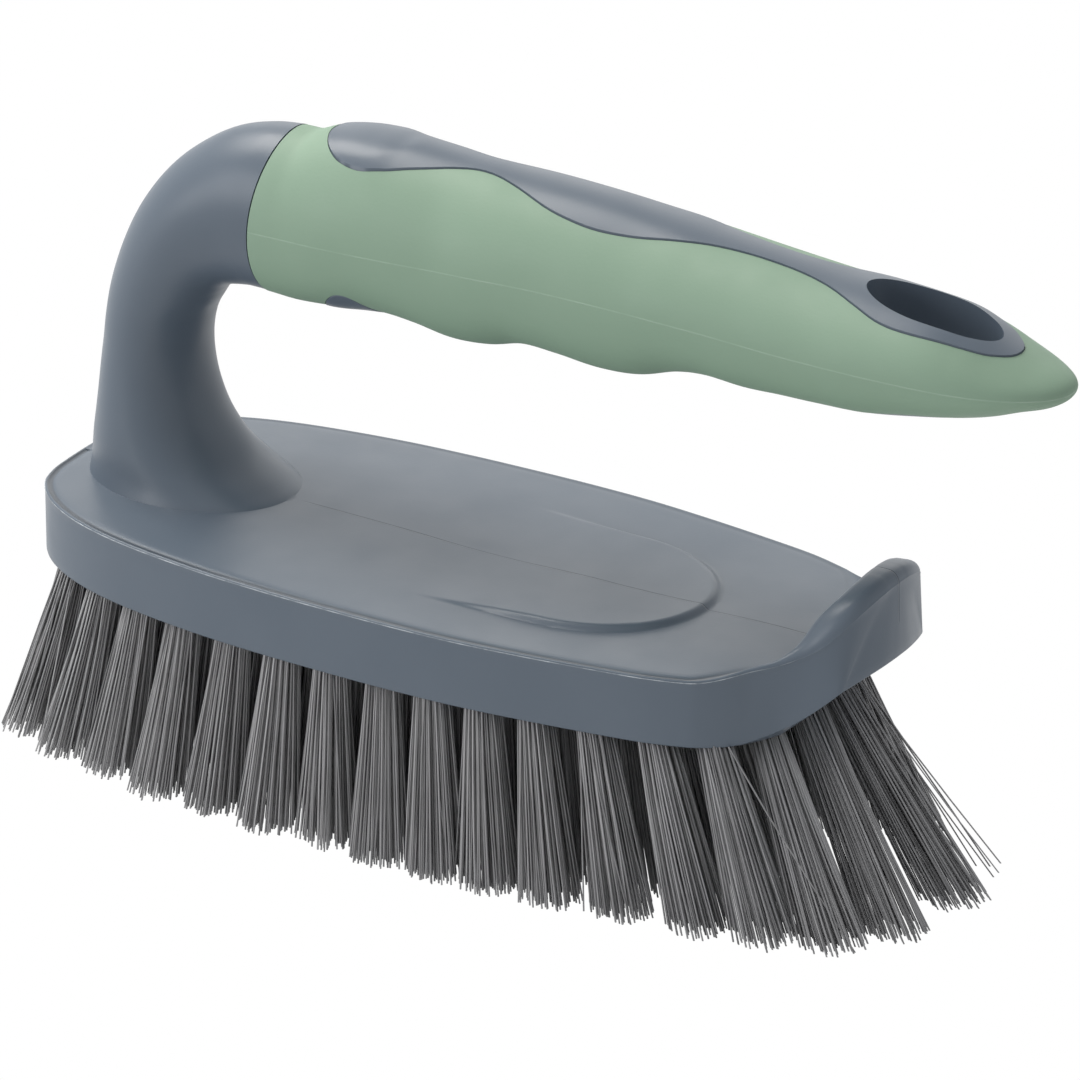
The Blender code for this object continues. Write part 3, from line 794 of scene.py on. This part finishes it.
def gripWindows(grow):
    # the columns that cut the window on top and the two below
    windows = prism("windowTop", windowOutline(grow), *grip["topCut"])
    for name, size in (("windowHole", "holeBelow"), ("windowThumb", "thumbBelow")):
        cutter = prism(name, oval(grip[size], grow), *grip[size + "Cut"])
        combine(windows, cutter, 'UNION')
    return windows


def markParting(piece):
    # each point's height over the mould's line
    first, last = grip["parting"][0][0], grip["parting"][-1][0]
    heights = piece.data.attributes.new("parting", 'FLOAT', 'POINT')
    for vert, item in zip(piece.data.vertices, heights.data):
        x = min(max((vert.co.x - blockBack) * 1000, first), last)
        item.value = (vert.co.z - blockFoot) * 1000 - atX(grip["parting"], x)[0]


sleevePiece = gripSkin("gripSleeve", grip["start"], grip["end"], grip["around"], grip["along"],
                       functools.partial(gripPoint, shrink=0))
hollow = gripSkin("hollow", *grip["hollow"], grip["coreAround"], grip["coreAlong"],
                  functools.partial(gripPoint, shrink=grip["wall"]))
combine(sleevePiece, hollow, 'DIFFERENCE')
combine(sleevePiece, gripWindows(0), 'DIFFERENCE')
markParting(sleevePiece)
finish(sleevePiece, sageRubber, ["grip_sleeve"], smoothTo=40)

corePiece = gripSkin("handleCore", grip["coreStart"], grip["coreEnd"],
                     grip["coreAround"], grip["coreAlong"],
                     functools.partial(gripPoint, shrink=grip["wall"] + grip["gap"]))
land = gripSkin("land", grip["coreStart"], grip["end"], grip["around"], grip["along"], landPoint)
combine(land, gripWindows(-grip["gap"]), 'INTERSECT')
combine(corePiece, land, 'UNION')
combine(corePiece, prism("hole", oval(grip["hole"]), *grip["holeCut"]), 'DIFFERENCE')
finish(corePiece, corePlastic, ["handle_core"], smoothTo=40)
print("handle made", len(sleevePiece.data.polygons), len(corePiece.data.polygons))

# Bristles

bristles = {
    # x of the rows, from the back forward; the first and the last are listed one by one
    "rowX": [
        5.0, 11.3, 19.0, 27.4, 36.5, 46.5, 56.2, 65.6, 75.4, 84.4, 93.3, 102.4, 112.3, 122.3,
        136.5],
    "backRow": [(6.2, -9.6), (5.0, 0.0), (6.2, 9.6)],
    "backRowLean": (-6.5, 0.1),     # along, and aside for each millimetre from the middle
    # the curved row under the nose: its tufts, their leans and how much wider they spread
    "noseRow": [(131.0, -20.0), (135.6, -12.0), (137.2, -2.0), (136.4, 8.0), (131.5, 18.5)],
    "noseLean": [(11.5, -3.7), (16.8, -7.5), (21.8, -9.2), (24.8, -4.8), (12.0, 3.0)],
    "noseSpread": (0.6, 0.8),
    # loose ones: root x, y, tip x, y
    "loose": [
        (139.6, 10.6, 162.0, 17.4), (139.9, 9.2, 163.6, 12.2), (139.2, 10.9, 160.9, 15.9),
        (138.6, 11.2, 159.7, 13.6), (139.7, 9.9, 163.2, 14.6), (134.7, -21.4, 157.4, -20.9),
        (131.8, -21.9, 146.5, -27.6), (11.9, -20.6, 10.2, -29.4), (84.0, -29.2, 91.5, -33.6)],
    "looseExtra": 0.3,
    "inset": 3.55,                  # of the outer tufts from the block's edge
    "acrossPitch": 9.3,
    "rootRadius": 2.85,
    "tipRadius": (5.2, 4.5),
    "outer": 155,                   # filaments in a tuft that shows from outside
    "inner": 90,
    # lean of the tufts' tips at the back, at the front and at the sides, dying out inward
    "backLean": 9.6,
    "backX": 5,
    "frontLean": 12.5,
    "frontX": 131,
    "fade": 40.0,
    "sideLean": 3.6,
    "sideY": 26,
    # chance: where a tuft ends and how long it is
    "tuftAlong": 0.35,
    "tuftAside": 0.3,
    "tuftLength": 0.2,
    # chance: where a filament ends, and the share of strays
    "turn": 0.15,
    "tip": 0.28,
    "stray": 1.7,
    "strayAside": 0.5,
    "strayShare": 0.025,
    # a filament and its chances
    "length": 29.4,
    "longest": 29.45,
    "shorter": 0.5,
    "bend": (0.97, 1.14),
    "sag": 0.12,
    "shade": (0.5, 0.22),
    "shadeLimits": (0.08, 0.92),
    "thick": 0.158,                 # radius
    "thickChange": (0.88, 1.12),
    # how far it starts inside the block, and how much more for each millimetre under the nose
    "inside": 0.5,
    "noseFrom": 139.0,
    "noseSlope": 0.86,
}
goldenTurn = 2.39996
sideRail = [(rail[0], rail[1]) for rail in block["rails"] if rail[2] == 0]


def filamentForm():
    # one filament, upright from z 0 to 1, in three lengths
    bm = bmesh.new()
    bmesh.ops.create_cone(bm, cap_ends=True, segments=5, radius1=1, radius2=0.92, depth=1)
    bmesh.ops.translate(bm, verts=bm.verts, vec=(0, 0, 0.5))
    sides = [edge for edge in bm.edges if abs(edge.verts[0].co.z - edge.verts[1].co.z) > 0.5]
    bmesh.ops.subdivide_edges(bm, edges=sides, cuts=2, use_grid_fill=False)
    form = bpy.data.meshes.new("filamentForm")
    bm.to_mesh(form)
    bm.free()
    return form


def lean(x, y):
    # how far forward and aside of its roots a tuft's tips lie
    forward = bristles["frontLean"] * math.exp((x - bristles["frontX"]) / bristles["fade"])
    backward = bristles["backLean"] * math.exp((bristles["backX"] - x) / bristles["fade"])
    return forward - backward, bristles["sideLean"] * y / bristles["sideY"]


def tuftRows():
    # for each tuft its x, y, lean forward, lean aside and whether it shows from outside
    along, aside = bristles["backRowLean"]
    rows = [[(x, y, along, aside * y, True) for x, y in bristles["backRow"]]]
    for x in bristles["rowX"][1:-1]:
        reach = atX(sideRail, x)[0] - bristles["inset"]
        last = round(2 * reach / bristles["acrossPitch"])
        places = [(x, reach * (2 * i / last - 1)) for i in range(last + 1)]
        rows.append([(*spot, *lean(*spot), i in (0, last)) for i, spot in enumerate(places)])
    rows.append([(*spot, *away, True)
                 for spot, away in zip(bristles["noseRow"], bristles["noseLean"])])
    return rows


def nearestRow(x):
    rowX = bristles["rowX"]
    return min(range(len(rowX)), key=lambda i: abs(rowX[i] - x))


def addFilament(bm, tintLayer, root, tip, extra):
    # one filament bent from its root to its tip, with its own shade and thickness
    bend = dice.uniform(*bristles["bend"])
    sag = dice.gauss(0, bristles["sag"])
    length = min(bristles["length"] + extra, bristles["longest"])
    length -= abs(dice.gauss(0, bristles["shorter"]))
    inside = bristles["inside"] + bristles["noseSlope"] * max(root[0] - bristles["noseFrom"], 0)
    darkest, lightest = bristles["shadeLimits"]
    shade = min(max(dice.gauss(*bristles["shade"]), darkest), lightest)
    thick = bristles["thick"] * dice.uniform(*bristles["thickChange"])
    start = len(bm.verts)
    bm.from_mesh(filament)
    bm.verts.ensure_lookup_table()
    for vert in bm.verts[start:]:
        s = vert.co.z
        x = root[0] + (tip[0] - root[0]) * s ** bend + sag * math.sin(math.pi * s)
        y = root[1] + (tip[1] - root[1]) * s ** bend
        vert.co = place(x + vert.co.x * thick, y + vert.co.y * thick,
                        inside - (length + inside) * s)
        vert[tintLayer] = shade


def addTuft(bm, tintLayer, tuft, far):
    cx, cy, leanX, leanY, showing = tuft
    number = bristles["outer"] if showing else bristles["inner"]
    wide = bristles["rootRadius"]
    middleX = cx + leanX + dice.gauss(0, bristles["tuftAlong"])
    middleY = cy + leanY + dice.gauss(0, bristles["tuftAside"])
    extra = dice.gauss(0, bristles["tuftLength"])
    for k in range(number):
        share = math.sqrt((k + 0.5) / number)
        angle = goldenTurn * k + dice.uniform(-bristles["turn"], bristles["turn"])
        towardX, towardY = share * math.cos(angle), share * math.sin(angle)
        strays = dice.random() < bristles["strayShare"]
        stray = bristles["stray"] if strays else bristles["tip"]
        root = (cx + wide * towardX, cy + wide * towardY)
        tip = (middleX + far[0] * towardX + dice.gauss(0, stray),
               middleY + far[1] * towardY + dice.gauss(0, min(stray, bristles["strayAside"])))
        addFilament(bm, tintLayer, root, tip, extra)


filament = filamentForm()
dice = random.Random(11)
total = 0
rows = tuftRows()
for index, row in enumerate(rows):
    bm = bmesh.new()
    tintLayer = bm.verts.layers.float.new("tint")
    far = bristles["tipRadius"]
    if index == len(rows) - 1:
        far = [radius + more for radius, more in zip(far, bristles["noseSpread"])]
    for tuft in row:
        addTuft(bm, tintLayer, tuft, far)
    for rootX, rootY, tipX, tipY in bristles["loose"]:
        if nearestRow(rootX) == index:
            addFilament(bm, tintLayer, (rootX, rootY), (tipX, tipY), bristles["looseExtra"])
    bmesh.ops.recalc_face_normals(bm, faces=bm.faces)
    rowPiece = keep(bm, f"tuftRow{index + 1:02d}")
    total += len(rowPiece.data.vertices) // len(filament.vertices)
    finish(rowPiece, greyFilament, [f"tuft_row_{index + 1:02d}"], smoothTo=80)
print("bristles made", total)

# Floor, light and camera

studio = {
    "world": 0.55,
    "floor": 3,             # metres from its middle to its sides
    "floorTone": 0.8,
    "floorRoughness": 0.9,
    # name, place, aim, size, watts and colour, in metres of the frame
    "lamps": [
        ("keyLamp", (-0.5, 0.05, 0.8), (0, 0, 0.05), (0.5, 0.5), 8.2, (1.0, 0.965, 0.91)),
        ("sideLamp", (-1.6, -1.9, 0.7), (0, 0, 0.04), (1.6, 1.2), 24, (1, 1, 1)),
        ("backLamp", (-0.45, 1.1, 0.6), (0, 0, 0.05), (1.1, 0.8), 2.2, (1.0, 0.975, 0.93))],
    # the camera's turn and tilt in degrees, metres from its aim and millimetres of lens, then
    # the aim in the block's millimetres and how far the picture's middle lies right and down
    "azimuth": 31.5,
    "elevation": 24.71,
    "distance": 1.501,
    "lens": 314.83,
    "aim": (70.0, 0.0, 21.494),
    "right": 14.77,
    "down": 8.82,
}


def areaLamp(name, position, target, size, power, colour):
    lamp = bpy.data.lights.new(name, 'AREA')
    lamp.shape = 'RECTANGLE'
    lamp.size, lamp.size_y = size
    lamp.energy = power
    lamp.color = colour
    item = bpy.data.objects.new(name, lamp)
    item.location = position
    item.rotation_mode = 'QUATERNION'
    item.rotation_quaternion = (Vector(target) - Vector(position)).to_track_quat('-Z', 'Y')
    bpy.context.scene.collection.objects.link(item)


def whiteWhenSeen(tree):
    # 1 where seen straight or mirrored, so the backdrop stays white and casts no tint
    rays = tree.nodes.new("ShaderNodeLightPath").outputs
    seen = arithmetic(tree, 'MAXIMUM', rays["Is Camera Ray"], rays["Is Transmission Ray"])
    return arithmetic(tree, 'MAXIMUM', seen, rays["Is Glossy Ray"])


world = bpy.data.worlds.new("studio")
bpy.context.scene.world = world
world.use_nodes = True
tree = world.node_tree
background = tree.nodes["Background"]
background.inputs["Color"].default_value = (1, 1, 1, 1)
level = spread(tree, whiteWhenSeen(tree), 0, 1, studio["world"], 1)
tree.links.new(level, background.inputs["Strength"])

floorMesh = bmesh.new()
bmesh.ops.create_grid(floorMesh, x_segments=1, y_segments=1, size=studio["floor"])
floor = keep(floorMesh, "floor")
floorMaterial = bpy.data.materials.new("paleFloor")
floorMaterial.use_nodes = True
tree = floorMaterial.node_tree
floorShader = tree.nodes["Principled BSDF"]
floorShader.inputs["Base Color"].default_value = (*[studio["floorTone"]] * 3, 1)
floorShader.inputs["Roughness"].default_value = studio["floorRoughness"]
glow = tree.nodes.new("ShaderNodeEmission")
glow.inputs["Strength"].default_value = 1
mixer = tree.nodes.new("ShaderNodeMixShader")
tree.links.new(whiteWhenSeen(tree), mixer.inputs[0])
tree.links.new(floorShader.outputs[0], mixer.inputs[1])
tree.links.new(glow.outputs[0], mixer.inputs[2])
tree.links.new(mixer.outputs[0], tree.nodes["Material Output"].inputs["Surface"])
floor.data.materials.append(floorMaterial)

for lamp in studio["lamps"]:
    areaLamp(*lamp)

turn, tilt = math.radians(studio["azimuth"]), math.radians(studio["elevation"])
back = Vector((math.sin(turn) * math.cos(tilt), -math.cos(turn) * math.cos(tilt), math.sin(tilt)))
right = Vector((math.cos(turn), math.sin(turn), 0))
up = back.cross(right)
aim = place(*studio["aim"]) + right * studio["right"] / 1000 - up * studio["down"] / 1000
cameraData = bpy.data.cameras.new("camera")
cameraData.sensor_width = 36
cameraData.lens = studio["lens"]
cameraData.clip_end = 20
camera = bpy.data.objects.new("camera", cameraData)
camera.location = aim + back * studio["distance"]
camera.rotation_mode = 'QUATERNION'
camera.rotation_quaternion = (-back).to_track_quat('-Z', 'Y')
bpy.context.scene.collection.objects.link(camera)
bpy.context.scene.camera = camera
bpy.context.scene.view_settings.view_transform = 'Standard'
print("studio made")
